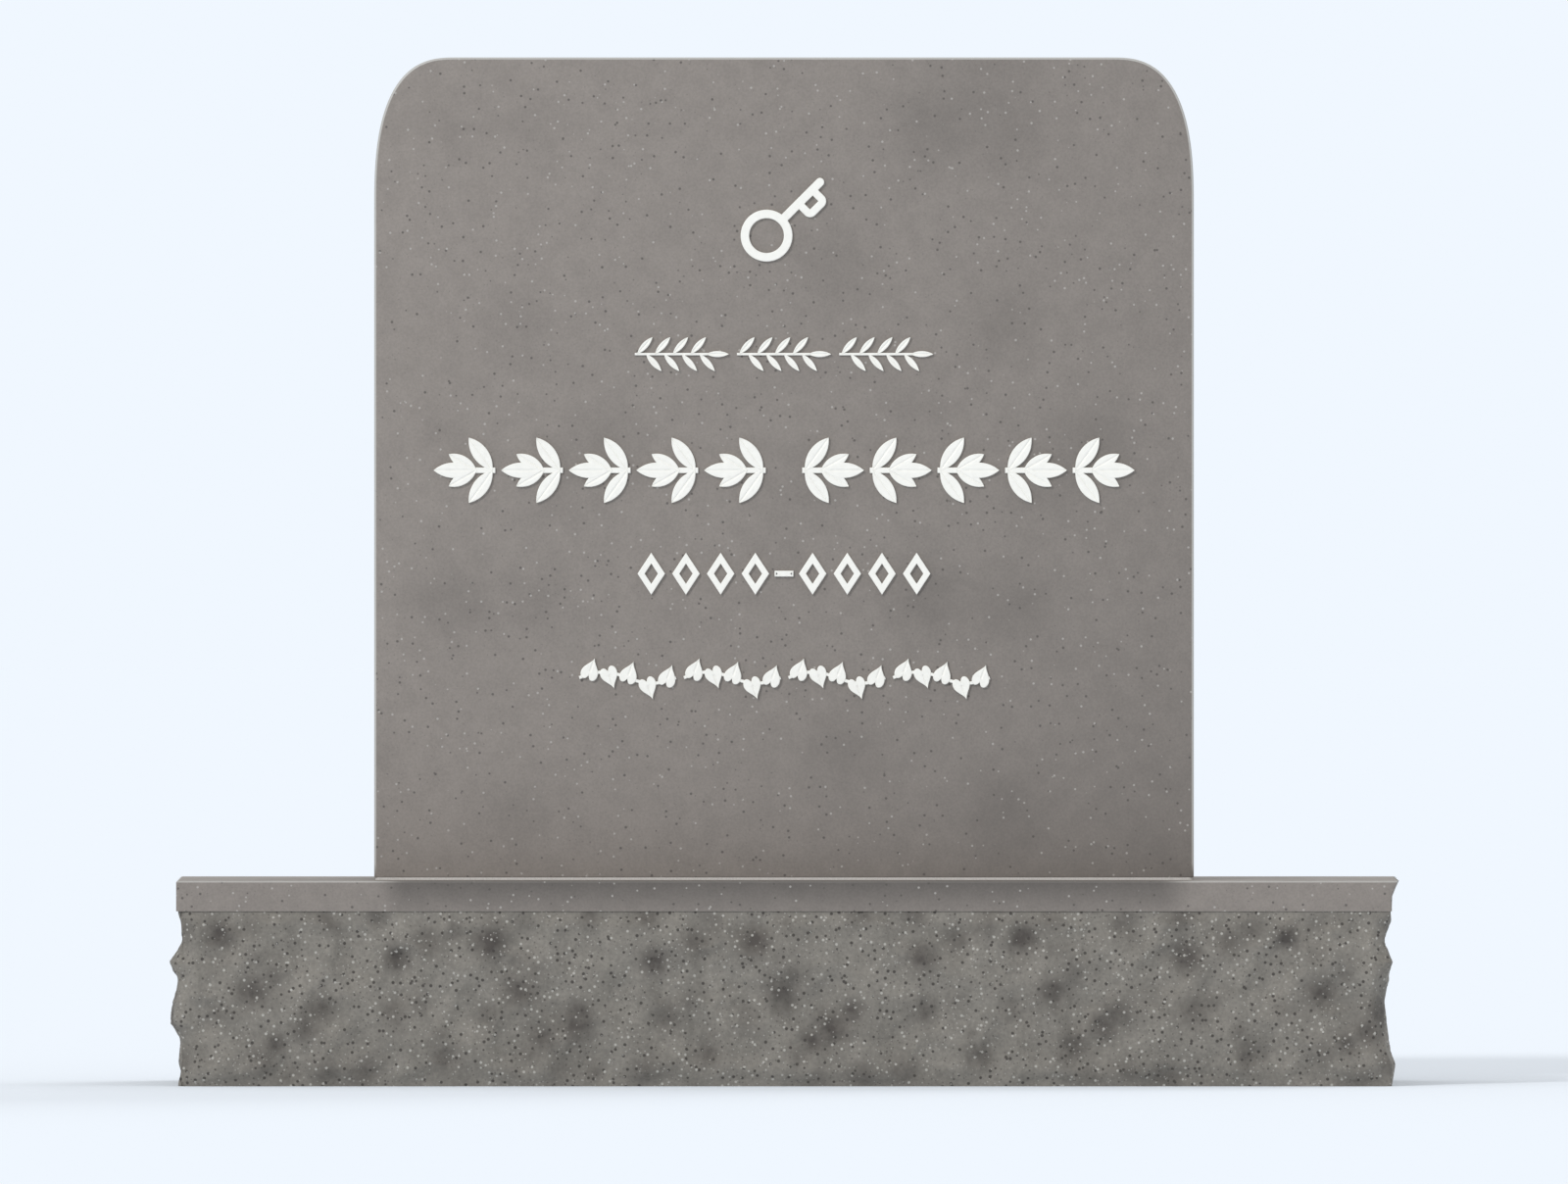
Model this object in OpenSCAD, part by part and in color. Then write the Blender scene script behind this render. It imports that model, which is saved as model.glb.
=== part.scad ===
// Upright granite headstone: a polished tablet with elliptical shoulders, set on a rock-pitched base
// with a polished margin. A raised key and rows of raised ornament lie on the tablet's front.
// +X is to the viewer's right, the front faces -Y, +Z is up, and the origin is at the middle of the
// base's underside.

/* [Tablet] */
// Width of the tablet
tablet_w = 609.6; // [480:0.1:760]
// Thickness of the tablet, front to back
tablet_t = 152.4; // [90:0.1:220]
// Height of the tablet
tablet_h = 609.6; // [500:0.1:900]
// Width of each rounded shoulder
shoulder_w = 60.5; // [30:0.5:110]
// Height of each rounded shoulder
shoulder_h = 111.5; // [50:0.5:200]
// Squareness of the shoulder's curve, where 2 is a plain ellipse
shoulder_power = 2.68; // [2:0.01:4]
// Width of the eased edge round the front and the back of the tablet
tablet_arris = 1.8; // [0.5:0.1:5]

/* [Base] */
// Length of the base over its proudest stone
base_w = 914.4; // [800:0.1:1200]
// Depth of the base over its proudest stone
base_d = 304.8; // [240:0.1:420]
// Height of the base
base_h = 152.4; // [110:0.1:220]
// Height of the smooth margin round the top of the base, under its eased edge
margin_h = 21.2; // [8:0.1:40]
// Width of the eased edge round the top of the base
base_arris = 1.4; // [0.5:0.1:8]
// How far the proudest pitched stone stands out past the margin
pitch_proud = 5.8; // [3:0.1:15]
// How far the deepest hollow of the pitched stone lies behind the margin
pitch_fall = 4.2; // [1:0.1:8]
// Height of the spur of pitched stone at the top of the right end
spur_h = 12; // [4:0.5:20]

/* [Setting bed] */
// Thickness of the setting compound between base and tablet
bed_t = 2; // [1:0.1:6]
// How far the setting compound stays inside the tablet's foot
bed_inset = 0.6; // [0.2:0.1:20]

/* [Raised work] */
// How far the key and the ornament stand out of the tablet
relief = 3; // [1:0.1:8]
// From the tablet's top down to the middle of the key's length
key_drop = 118.3; // [60:0.1:160]
// From the tablet's top down to the middle of the sprigs
sprig_drop = 220.6; // [190:0.1:235]
// From the tablet's top down to the middle of the laurel
laurel_drop = 307; // [285:0.1:320]
// From the tablet's top down to the middle of the lozenges
lozenge_drop = 383.9; // [370:0.1:400]
// From the tablet's top down to the middle of the ivy
ivy_drop = 461.2; // [440:0.1:480]

/* [Key] */
// Radius of the key's bow at the middle of its bar
bow_r = 16.1; // [10:0.1:24]
// Width of the key's bar
key_bar = 6.4; // [3:0.1:8]
// From the middle of the bow to the end of the key
key_l = 59.4; // [50:0.1:80]
// Length of the key's bit along the shank
bit_l = 20.2; // [14:0.1:24]
// How far the bit stands out from the middle of the shank
bit_h = 14.9; // [12:0.1:20]
// From the end of the key back to the bit
bit_back = 8.3; // [4:0.1:14]
// Width of the border round the hole in the bit
bit_bar = 5.8; // [2:0.1:6.2]
// Radius of the bit's two corners
bit_round = 5.5; // [1:0.1:6.5]
// How far right of the tablet's middle the middle of the key's length is, to balance the bit
key_side = 1.2; // [-6:0.1:6]

/* [Sprigs] */
// Length of one sprig
sprig_l = 70; // [50:0.5:90]
// Clear space between two sprigs
sprig_gap = 6; // [2:0.5:20]
// Length of a leaf on a sprig
sprig_leaf_l = 17; // [8:0.1:20]
// Width of a leaf on a sprig
sprig_leaf_w = 4.6; // [2:0.1:8]
// Width of a sprig's stem
sprig_stem = 1.8; // [1:0.1:4]

/* [Laurel] */
// Clear space between the laurel and each side of the tablet
laurel_side = 44.1; // [20:0.1:60]
// Clear space between two sprays
laurel_gap = 4.3; // [2:0.1:10]
// Clear space between the two halves of the laurel
laurel_middle = 27; // [10:0.5:40]
// Length of a laurel leaf
laurel_leaf_l = 30; // [20:0.5:32]
// Width of a laurel leaf
laurel_leaf_w = 11.5; // [6:0.1:16]
// Width of the laurel's stem
laurel_stem = 4.2; // [2:0.1:8]

/* [Lozenges] */
// Width of a lozenge
lozenge_w = 20.6; // [12:0.1:24]
// Height of a lozenge
lozenge_h = 31.4; // [20:0.1:40]
// Clear space between two lozenges
lozenge_gap = 5.2; // [2:0.1:12]
// Width of the border round the hole in a lozenge, measured level
lozenge_border = 5.4; // [3:0.1:5.8]
// Length of the bar between the two groups of lozenges
centre_bar_l = 14; // [8:0.1:30]
// Clear space between the bar and the lozenge on each side of it
lozenge_bar_gap = 4; // [2:0.1:10]
// Height of the bar between the two groups of lozenges
centre_bar_h = 4.4; // [2:0.1:8]

/* [Ivy] */
// Length of one ivy trail
ivy_l = 72; // [50:0.5:90]
// Clear space between two trails
ivy_gap = 5.8; // [2:0.1:20]
// Length of an ivy leaf from its notch to its tip
ivy_leaf_l = 13; // [8:0.1:14]
// Width of an ivy leaf
ivy_leaf_w = 13; // [8:0.1:14]
// Width of the ivy's stem
ivy_stem = 2.4; // [1:0.1:4]
// How far the ivy's stem swings above and below its middle
ivy_swing = 4.2; // [1:0.1:8]

/* [Hidden] */
SPRIG_SIDES = ["left", "middle", "right"];
LAURELS = 10;
LOZENGES = 8;
IVIES = 4;

ARC_FN = 96;
SPRIG_ANGLE = 48;
LAUREL_LOW_ANGLE = 54;
LAUREL_HIGH_ANGLE = 30;
LAUREL_HIGH_SHARE = 0.8;
IVY_LEAVES = 5;
IVY_LEAN = 20;

tablet_z = base_h + bed_t;
tablet_top = tablet_z + tablet_h;
face_y = -tablet_t / 2;
margin_w = base_w - 2 * pitch_proud;
margin_d = base_d - 2 * pitch_proud;
margin_z = base_h - base_arris - margin_h;
laurel_l = ((tablet_w - laurel_middle) / 2 - laurel_side - (LAURELS / 2 - 1) * laurel_gap) / (LAURELS / 2);

// Rows of pitched stone from the underside to the margin, and steps along the long and the short faces.
PITCH_ROWS = 17;
LONG_STEPS = 36;
SHORT_STEPS = 12;
// The outline of each end seen from the front: [row, share of the way out].
LEFT_END = [[0, -1], [2, 0], [4, -0.3], [6, 1], [10, 0.2], [12, 1], [14, -0.9], [17, -0.8]];
RIGHT_END = [[0, 0], [2, 0.5], [5, -0.3], [8, -1], [12, 0.3], [14, -1], [16, 0], [17, -0.2]];

// ---- Stone ----

// One shoulder as points from its foot to the top: |u|^n + |v|^n = 1, pulled in by the eased edge.
function shoulder(inset, steps = 24) = [for (i = [0:steps])
    let (a = 90 * i / steps)
    [tablet_w / 2 - shoulder_w + (shoulder_w - inset) * pow(cos(a), 2 / shoulder_power),
     tablet_h - shoulder_h + (shoulder_h - inset) * pow(sin(a), 2 / shoulder_power)]];

// The tablet seen from the front, standing on its foot, with its edge pulled in all round but there.
module tablet_outline(inset) {
    right = concat([[tablet_w / 2 - inset, 0]], shoulder(inset));
    left = [for (i = [len(right) - 1:-1:0]) [-right[i][0], right[i][1]]];
    polygon(concat(right, left));
}

// Both outlines bulge everywhere, so the hull of a thick pulled-in slab and a thinner full one is the
// slab with its edges eased.
module tablet() {
    color("#8b8681") translate([0, 0, tablet_z]) rotate([90, 0, 0]) hull() {
        linear_extrude(tablet_t, center = true) tablet_outline(tablet_arris);
        linear_extrude(tablet_t - 2 * tablet_arris, center = true) tablet_outline(0);
    }
}

module setting_bed() {
    size = [tablet_w - 2 * bed_inset, tablet_t - 2 * bed_inset, bed_t];
    color("#a5a29c") translate([-size[0] / 2, -size[1] / 2, base_h]) cube(size);
}

// How far out a share stands: 1 is the proudest stone, 0 the margin's face and -1 the deepest hollow.
function pitched(share) = share > 0 ? share * pitch_proud : share * pitch_fall;

// The chisel's waves along the length s of a face at row h, between -1 and 1.
function waves(s, h, phase) = 0.45 * sin(3.7 * s + 31 * h + phase) + 0.33 * sin(6.3 * s - 47 * h)
    + 0.22 * sin(11.9 * s + 83 * h - phase);

// A face of the base from 0 at its foot and its top row to 1 between them.
function swell(row) = min(1, row / 2, (PITCH_ROWS - row) / 2);

// The long faces: waves about a middle that swells out, straight at the foot and at the top row.
function face_share(s, row, phase) = let (k = swell(row)) -0.8 + k * (0.95 + 0.85 * waves(s, row, phase));
function face_peak(phase) = max([for (row = [0:PITCH_ROWS]) for (i = [0:LONG_STEPS])
    face_share(i * margin_w / LONG_STEPS, row, phase)]);

// The ends: the outline seen from the front, less a dip that is nothing at the proudest place of a row.
function end_share(outline, s, row) =
    let (dips = [for (i = [0:SHORT_STEPS]) waves(i * margin_d / SHORT_STEPS, row, 60)])
    lookup(row, outline) - 0.5 * swell(row) * (waves(s, row, 60) - min(dips));

// One row of the pitched stone, anticlockwise from above, starting at the front left corner.
function pitch_ring(row) =
    let (z = row * margin_z / PITCH_ROWS,
         long = [for (i = [0:LONG_STEPS]) i * margin_w / LONG_STEPS],
         short = [for (i = [0:SHORT_STEPS]) i * margin_d / SHORT_STEPS],
         front = [for (s = long) margin_d / 2 + pitched(face_share(s, row, 0) / face_peak(0))],
         back = [for (s = long) margin_d / 2 + pitched(face_share(s, row, 140) / face_peak(140))],
         left = [for (s = short) margin_w / 2 + pitched(end_share(LEFT_END, s, row))],
         right = [for (s = short) margin_w / 2 + pitched(end_share(RIGHT_END, s, row))])
    concat(
        [[-left[0], -front[0], z]],
        [for (i = [1:LONG_STEPS - 1]) [long[i] - margin_w / 2, -front[i], z]],
        [[right[0], -front[LONG_STEPS], z]],
        [for (i = [1:SHORT_STEPS - 1]) [right[i], short[i] - margin_d / 2, z]],
        [[right[SHORT_STEPS], back[LONG_STEPS], z]],
        [for (i = [LONG_STEPS - 1:-1:1]) [long[i] - margin_w / 2, back[i], z]],
        [[-left[SHORT_STEPS], back[0], z]],
        [for (i = [SHORT_STEPS - 1:-1:1]) [-left[i], short[i] - margin_d / 2, z]]);

// The pitched stone below the margin. Its top row runs straight up into the margin, so the two are one.
module pitched_stone() {
    rows = concat([for (row = [0:PITCH_ROWS]) pitch_ring(row)],
        [[for (p = pitch_ring(PITCH_ROWS)) p + [0, 0, margin_h / 2]]]);
    around = len(rows[0]);
    top = len(rows) - 1;
    points = concat([for (ring = rows) each ring], [[0, 0, 0], [0, 0, rows[top][0][2]]]);
    foot_centre = len(points) - 2;
    top_centre = len(points) - 1;
    faces = concat(
        [for (r = [0:top - 1]) for (i = [0:around - 1])
            let (a = r * around + i, b = r * around + (i + 1) % around)
            each [[a, a + around, b + around], [a, b + around, b]]],
        [for (i = [0:around - 1]) [foot_centre, i, (i + 1) % around]],
        [for (i = [0:around - 1]) [top_centre, top * around + (i + 1) % around, top * around + i]]);
    polyhedron(points, faces);
}

// The smooth margin, with its top edge eased.
module margin() {
    translate([0, 0, margin_z]) hull() {
        linear_extrude(margin_h) square([margin_w, margin_d], center = true);
        linear_extrude(margin_h + base_arris)
            square([margin_w - 2 * base_arris, margin_d - 2 * base_arris], center = true);
    }
}

// The spur of pitched stone that is left at the top of the right end.
module end_spur() {
    x = margin_w / 2;
    rotate([90, 0, 0]) linear_extrude(margin_d - 2 * base_arris, center = true)
        polygon([[x - spur_h, base_h], [x - spur_h, base_h - spur_h], [x, base_h - spur_h],
            [x + pitch_proud, base_h]]);
}

module base() {
    color("#7f7b76") union() {
        pitched_stone();
        margin();
        end_spur();
    }
}

// ---- Raised work ----

// Places a flat shape on the tablet's front, x from its middle and drop down from its top.
module raised(x, drop) {
    color("#f3f2ec") translate([x, face_y, tablet_top - drop]) rotate([90, 0, 0])
        linear_extrude(relief) children();
}

// A pointed leaf from the origin along +X, between two equal arcs.
module leaf(l, w) {
    r = (l * l + w * w) / (4 * w);
    intersection() {
        translate([l / 2, r - w / 2]) circle(r, $fn = ARC_FN);
        translate([l / 2, w / 2 - r]) circle(r, $fn = ARC_FN);
    }
}

// An old-fashioned key: a ring for a bow, a round-ended shank and a pierced bit.
module key() {
    shank_end = key_l - key_bar / 2;
    bit_x = key_l - bit_back - bit_l;
    bow_out = bow_r + key_bar / 2;
    raised(key_side, key_drop) rotate(45) translate([(bow_out - key_l) / 2, 0]) {
        difference() {
            circle(bow_out, $fn = ARC_FN);
            circle(bow_r - key_bar / 2, $fn = ARC_FN);
        }
        translate([bow_r, -key_bar / 2]) square([shank_end - bow_r, key_bar]);
        translate([shank_end, 0]) circle(key_bar / 2, $fn = ARC_FN);
        translate([bit_x, 0]) difference() {
            union() {
                translate([0, bit_round - bit_h]) square([bit_l, bit_h - bit_round]);
                translate([bit_round, -bit_h]) square([bit_l - 2 * bit_round, bit_h]);
                for (x = [bit_round, bit_l - bit_round])
                    translate([x, bit_round - bit_h]) circle(bit_round, $fn = ARC_FN);
            }
            translate([bit_bar, bit_bar - bit_h])
                square([bit_l - 2 * bit_bar, bit_h - bit_bar - key_bar / 2]);
        }
    }
}

// A slim sprig: a straight stem, leaves left and right by turns, and one leaf at the tip.
module sprig(place) {
    pairs = 4;
    step = (sprig_l - sprig_leaf_l) / pairs;
    raised(place * (sprig_l + sprig_gap) - sprig_l / 2, sprig_drop) {
        translate([0, -sprig_stem / 2]) square([sprig_l - sprig_leaf_l / 2, sprig_stem]);
        for (i = [0:pairs - 1]) {
            translate([i * step + sprig_stem, 0]) rotate(SPRIG_ANGLE) leaf(sprig_leaf_l, sprig_leaf_w);
            translate([(i + 0.5) * step + sprig_stem, 0]) rotate(-SPRIG_ANGLE)
                leaf(sprig_leaf_l, sprig_leaf_w);
        }
        translate([sprig_l - sprig_leaf_l, 0]) leaf(sprig_leaf_l, sprig_leaf_w);
    }
}

// One bold spray of five leaves. The first half of them point left and the others right.
module laurel(i) {
    half = LAURELS / 2;
    side = i < half ? -1 : 1;
    place = i < half ? half - 1 - i : i - half;
    raised(side * (laurel_middle / 2 + place * (laurel_l + laurel_gap)), laurel_drop)
        mirror([side < 0 ? 1 : 0, 0]) {
            translate([0, -laurel_stem / 2]) square([laurel_l - laurel_leaf_l / 2, laurel_stem]);
            translate([laurel_l - laurel_leaf_l, 0]) leaf(laurel_leaf_l, laurel_leaf_w);
            for (turn = [-1, 1]) {
                translate([laurel_stem / 2, 0]) rotate(turn * LAUREL_LOW_ANGLE)
                    leaf(laurel_leaf_l, laurel_leaf_w);
                translate([laurel_l - laurel_leaf_l - laurel_stem / 2, 0]) rotate(turn * LAUREL_HIGH_ANGLE)
                    leaf(laurel_leaf_l * LAUREL_HIGH_SHARE, laurel_leaf_w * LAUREL_HIGH_SHARE);
            }
        }
}

module diamond(w, h) {
    polygon([[w / 2, 0], [0, h / 2], [-w / 2, 0], [0, -h / 2]]);
}

// One pierced lozenge. Half of them stand on each side of the centre bar.
module lozenge(i) {
    half = LOZENGES / 2;
    side = i < half ? -1 : 1;
    place = i < half ? half - 1 - i : i - half;
    first = centre_bar_l / 2 + lozenge_bar_gap + lozenge_w / 2;
    hole = 1 - 2 * lozenge_border / lozenge_w;
    raised(side * (first + place * (lozenge_w + lozenge_gap)), lozenge_drop) difference() {
        diamond(lozenge_w, lozenge_h);
        diamond(lozenge_w * hole, lozenge_h * hole);
    }
}

module centre_bar() {
    raised(0, lozenge_drop) square([centre_bar_l, centre_bar_h], center = true);
}

// An ivy leaf, a heart that hangs from its notch at the origin. The heart is a sine cubed across, and a
// sum of cosines up and down that puts the notch at 5 and the tip at -17.
module ivy_blade() {
    polygon([for (t = [5:10:355])
        [ivy_leaf_w / 2 * pow(sin(t), 3),
         ivy_leaf_l / 22 * (13 * cos(t) - 5 * cos(2 * t) - 2 * cos(3 * t) - cos(4 * t) - 5)]]);
}

// One trail of ivy: a stem in one full wave, with leaves above and below it by turns.
module ivy(i) {
    steps = 24;
    wave = [for (k = [0:steps]) [ivy_l * k / steps, ivy_swing * sin(360 * k / steps)]];
    raised((i - (IVIES - 1) / 2) * (ivy_l + ivy_gap) - ivy_l / 2, ivy_drop) {
        polygon(concat([for (p = wave) p + [0, ivy_stem / 2]],
            [for (k = [steps:-1:0]) wave[k] - [0, ivy_stem / 2]]));
        for (k = [0:IVY_LEAVES - 1]) {
            at = (k + 0.5) / IVY_LEAVES;
            up = k % 2 == 0;
            translate([ivy_l * at, ivy_swing * sin(360 * at)]) rotate(up ? 180 - IVY_LEAN : IVY_LEAN)
                ivy_blade();
        }
    }
}

base();
setting_bed();
tablet();
key();
for (i = [0:len(SPRIG_SIDES) - 1])
    sprig(i - 1);
for (i = [0:LAURELS - 1]) laurel(i);
for (i = [0:LOZENGES - 1]) lozenge(i);
centre_bar();
for (i = [0:IVIES - 1]) ivy(i);
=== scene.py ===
"""Looks of an upright granite headstone: a polished tablet with elliptical shoulders, set on a rock-pitched
base with a polished margin, with a raised key and rows of raised ornament on the tablet's front.

It is laid out as an add-on and is run as a script. Every piece is a surface worked out as whole arrays, in
metres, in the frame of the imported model.
"""

import math

import bmesh
import bpy
import numpy as np
from bpy.props import FloatProperty, FloatVectorProperty, PointerProperty
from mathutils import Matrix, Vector


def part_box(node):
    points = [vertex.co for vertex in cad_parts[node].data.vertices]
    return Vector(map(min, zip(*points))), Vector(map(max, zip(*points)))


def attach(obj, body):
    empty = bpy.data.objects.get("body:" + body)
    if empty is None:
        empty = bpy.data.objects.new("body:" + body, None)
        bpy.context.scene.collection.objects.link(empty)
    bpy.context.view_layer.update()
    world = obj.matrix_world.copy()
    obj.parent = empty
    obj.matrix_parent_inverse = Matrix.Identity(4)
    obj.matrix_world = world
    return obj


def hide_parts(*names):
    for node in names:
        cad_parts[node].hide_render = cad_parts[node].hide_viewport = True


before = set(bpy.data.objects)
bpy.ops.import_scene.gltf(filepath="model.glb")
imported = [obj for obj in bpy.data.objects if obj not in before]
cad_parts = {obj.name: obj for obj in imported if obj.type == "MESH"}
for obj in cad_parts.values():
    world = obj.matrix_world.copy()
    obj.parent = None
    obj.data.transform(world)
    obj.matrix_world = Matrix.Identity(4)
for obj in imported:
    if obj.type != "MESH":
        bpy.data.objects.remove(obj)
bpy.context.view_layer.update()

bl_info = {
    "name": "Granite headstone",
    "version": (1, 0, 0),
    "blender": (4, 5, 0),
    "location": "View3D > Sidebar > Headstone",
    "description": "Builds a polished granite tablet on a rock-pitched base, with raised ornament",
    "category": "Add Mesh",
}

MM = 0.001
BASE_HIGH = np.array(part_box("base")[1])
BED_LOW, BED_HIGH = (np.array(c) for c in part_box("setting_bed"))
TABLET_LOW, TABLET_HIGH = (np.array(c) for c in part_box("tablet"))
FACE_Y = TABLET_LOW[1]
RELIEF = FACE_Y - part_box("key")[0][1]

# Turns of an eased edge, from its start to its end.
ARC = np.radians([0, 22.5, 45, 67.5, 90])
# The turn in degrees past which an edge is crisp, on the stone and bed and on the raised work.
STONE_CREASE, RAISED_CREASE = 38, 34
# How far past its eased edge the tablet's guard row lies, which keeps a flat face flat.
GUARD = 0.35 * MM

# The outline of each end of the base seen from the front: height above the underside as a share of the
# pitched stone, and how far out it stands, where 1 is the proudest stone, 0 the margin's face and -1 the
# deepest hollow.
LEFT_END = ((0, -1), (2, 0), (4, -0.3), (6, 1), (10, 0.2), (12, 1), (14, -0.9), (17, -0.8))
RIGHT_END = ((0, 0), (2, 0.5), (5, -0.3), (8, -1), (12, 0.3), (14, -1), (16, 0), (17, -0.2))
END_ROWS = 17

# Space between points round the base and up it, and the seed of its random draws.
ROUND_STEP, UP_STEP, SEED = 2.2 * MM, 2.0 * MM, 41
# Heights of the pitched stone's relief in mm: of a dish, a chip, the slow swell, a pocket and the grain.
DISH_H, CHIP_H, SWELL_H, POCKET_H, GRAIN_H = 12.5, 2.2, 1.8, 1.2, 0.22
# How much of that relief cuts into the ends' outline, and how far from a corner a face turns into an end.
END_CUT, END_RUN = 0.6, 14 * MM
# How far the pitched stone stands proud of the margin at its middle and behind it at its edges.
SWELL_OUT = 1.2 * MM
# Radius of the base's upright corners at the margin and on the pitched stone, points in a corner, and how
# far a pitched corner is knocked back.
CORNER, ROCK_CORNER, CORNER_STEPS, KNOCKED = 1.2 * MM, 5 * MM, 6, 1.2 * MM
# How much darker the painted shadow of the tablet makes the margin at its top and all over, and the base's
# top along its edge; and how much paler the painted light makes the rest of the base's top.
PAINTED_SHADOW_HIGH, PAINTED_SHADOW_ALL, PAINTED_SHADOW_TOP, PAINTED_TOP_LIGHT = 0.42, 0.14, 0.36, 0.1
# How far the painted shadow runs down the margin and in over the top, over what length it fades sideways,
# and how far past the tablet that begins.
PAINTED_SHADOW_DOWN, PAINTED_SHADOW_IN, PAINTED_SHADOW_FADE, PAINTED_SHADOW_PAST = 21 * MM, 30 * MM, 30 * MM, 4 * MM
# How much of the pale honed colour the arrises of the base and the tablet take; the pale colour is also a
# painted highlight along the edges.
BASE_HONED_AND_HIGHLIGHT, TABLET_HONED_AND_HIGHLIGHT = 0.7, 0.85

# Dark pockets in the pitched stone, darkened with dirt and with painted shade in their hollows, which come
# again along each face: along the face and down from the base's top, radius, all in mm, and how dark.
POCKET_RUN = 203.6
POCKETS = (
    (28, 43, 9, 1.0), (51, 31, 7, 0.4), (109, 27, 8, 0.55), (148, 28, 8, 0.6), (155, 58, 8, 0.95),
    (183, 46, 9, 0.6), (3, 35, 8, 0.5), (51, 54, 7, 0.35), (54, 82, 11, 0.9), (66, 70, 8, 0.5),
    (102, 97, 9, 0.85), (90, 109, 10, 0.85), (72, 120, 8, 0.85), (61, 129, 8, 0.5), (26, 98, 8, 0.4),
    (158, 97, 9, 0.6), (174, 89, 7, 0.4), (197, 131, 8, 0.65), (104, 139, 8, 0.55), (78, 143, 7, 0.35),
    (140, 142, 9, 0.6), (193, 113, 5, 0.4),
)

# Painted light and shade from the lamp at the upper left: how much darker the tablet grows from left to
# right, from its top to its foot, and into its low right.
PAINTED_SHADE_ACROSS, PAINTED_SHADE_DOWN, PAINTED_SHADE_CORNER = 0.16, 0.06, 0.2
# How much darker the deepest cloud is, and its bell curve's spread as a share of its radius.
CLOUD_DEPTH, CLOUD_SPREAD = 0.2, 0.72
# Soft clouds in the tablet's stone: right of its middle, down from its top, radius, all in mm, and depth.
CLOUDS = (
    (-244, 51, 26, 0.45), (-186, 58, 24, 0.4), (109, 51, 30, 1.0), (171, 58, 28, 0.7), (153, 4, 40, 0.5),
    (36, 157, 28, 0.7), (-197, 204, 24, 0.55), (160, 200, 26, 0.7), (-128, 288, 28, 0.7),
    (-168, 314, 30, 0.5), (230, 288, 28, 0.7), (190, 314, 30, 0.5), (98, 273, 28, 0.4), (11, 321, 26, 0.5),
    (-248, 405, 30, 1.0), (-182, 405, 28, 0.7), (109, 401, 30, 1.0), (175, 408, 28, 0.8),
    (-4, 372, 26, 0.3), (44, 514, 28, 0.7), (-197, 561, 24, 0.7), (164, 561, 28, 0.8),
    (-306, 518, 20, 0.5), (-255, 277, 26, 0.4),
)


# ---- Settings ----

def length(name, description, default_mm):
    """A length that the user sets, given here in mm."""
    return FloatProperty(name=name, description=description, default=default_mm * MM, min=0.0,
                         soft_max=1.0, precision=4, subtype="DISTANCE", unit="LENGTH")


def linear(colour):
    """An sRGB hex colour as linear red, green, blue and alpha."""
    value = np.array([int(colour[i:i + 2], 16) for i in (1, 3, 5)]) / 255
    value = np.where(value <= 0.04045, value / 12.92, ((value + 0.055) / 1.055) ** 2.4)
    return (*value.tolist(), 1.0)


def finish_colour(name, description, colour):
    """A colour that the user sets, given here as sRGB hex."""
    return FloatVectorProperty(name=name, description=description, size=4, min=0.0, max=1.0,
                               default=linear(colour), subtype="COLOR")


class HeadstoneTablet(bpy.types.PropertyGroup):
    shoulder_w: length("Shoulder width", "Width of each rounded shoulder", 60.5)
    shoulder_h: length("Shoulder height", "Height of each rounded shoulder", 111.5)
    shoulder_power: FloatProperty(name="Shoulder squareness", default=2.68, min=2.0, max=4.0,
                                  description="Squareness of the shoulder's curve; 2 is a plain ellipse")
    arris: length("Arris", "Radius of the eased edge round the front and the back", 1.3)


class HeadstoneBase(bpy.types.PropertyGroup):
    margin_h: length("Margin height", "Height of the polished margin with its eased edge", 22.6)
    arris: length("Arris", "Radius of the eased edge round the top", 1.4)
    proud: length("Proudest stone", "How far pitched stone stands out past the margin", 5.8)
    fall: length("End hollow", "How far a hollow of the ends' outline lies behind the margin", 4.2)
    hollow: length("Face hollow", "How far the deepest hollow of a long face lies behind the margin", 7.5)
    spur_h: length("Spur height", "Height of the spur at the top of the right end", 12)
    scallop: length("Scallop", "Width of one scallop left by the pitching chisel", 34)
    chip: length("Chip", "Width of one small chip inside a scallop", 11)


class HeadstoneRaised(bpy.types.PropertyGroup):
    edge: length("Edge radius", "Radius of the raised work's outer edge", 0.6)
    groove: length("Midrib", "Depth of the groove along the middle of a leaf", 0.7)
    groove_w: length("Midrib width", "Half the width of that groove", 0.55)
    bedded: length("Bedded", "How far the raised work runs into the tablet", 0.3)


class HeadstoneColours(bpy.types.PropertyGroup):
    stone: finish_colour("Polished granite", "Middle tone of the polished stone", "#837C76")
    rock: finish_colour("Pitched granite", "Middle tone of the broken stone", "#7C7871")
    pocket: finish_colour("Pockets", "Dirt and shade in the hollows of the broken stone", "#4A4541")
    arris: finish_colour("Arris", "Honed edge of the polished stone", "#B9B8B4")
    raised: finish_colour("Raised work", "Off-white enamel of the raised work", "#F3F2EC")
    bed: finish_colour("Setting compound", "Line of compound under the tablet", "#CFCCC8")
    backdrop: finish_colour("Backdrop", "Pale studio floor and backdrop", "#F0F7FF")


class HeadstoneStage(bpy.types.PropertyGroup):
    distance: length("Camera distance", "From the camera to the middle of the stone", 40000)
    elevation: FloatProperty(name="Camera elevation", description="Angle of the view above level",
                             default=math.radians(0.36), subtype="ANGLE", unit="ROTATION")
    frame_w: length("Frame width", "Width that the camera takes in at the stone", 1168.5)
    middle_z: length("Frame middle", "Height of the middle of the frame", 366.0)
    fill: FloatProperty(name="Fill", description="Strength of the even light all round", default=0.62)
    key: FloatProperty(name="Key", description="Strength of the soft lamp at the upper left", default=1.25)
    above: FloatProperty(name="Above", description="Strength of the wide lamp overhead", default=0.35)


GROUPS = {"tablet": HeadstoneTablet, "base": HeadstoneBase, "raised": HeadstoneRaised,
          "colours": HeadstoneColours, "stage": HeadstoneStage}


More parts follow.
